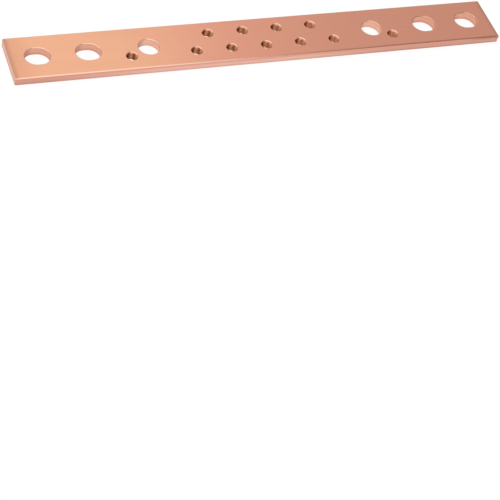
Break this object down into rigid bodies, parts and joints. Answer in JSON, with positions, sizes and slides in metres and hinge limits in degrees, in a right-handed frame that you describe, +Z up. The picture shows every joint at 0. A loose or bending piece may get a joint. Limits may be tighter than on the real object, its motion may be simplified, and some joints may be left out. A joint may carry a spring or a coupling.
{
  "type": "copper busbar",
  "caption": "Flat copper busbar with rounded edges, oblong bolt slots and round bolt holes towards both ends, and staggered rows of tapped, countersunk holes between them.",
  "frame": {"origin": "middle of the underside", "axes": "+X along the bar, +Y across it towards the back row of tapped holes, +Z up out of the countersunk face"},
  "size_m": [0.28, 0.03, 0.005],
  "materials": {
    "copper": "satin drawn copper with faint lengthwise drawing lines"
  },
  "bodies": {
    "root": {"busbar": "copper"}
  },
  "joints": []
}
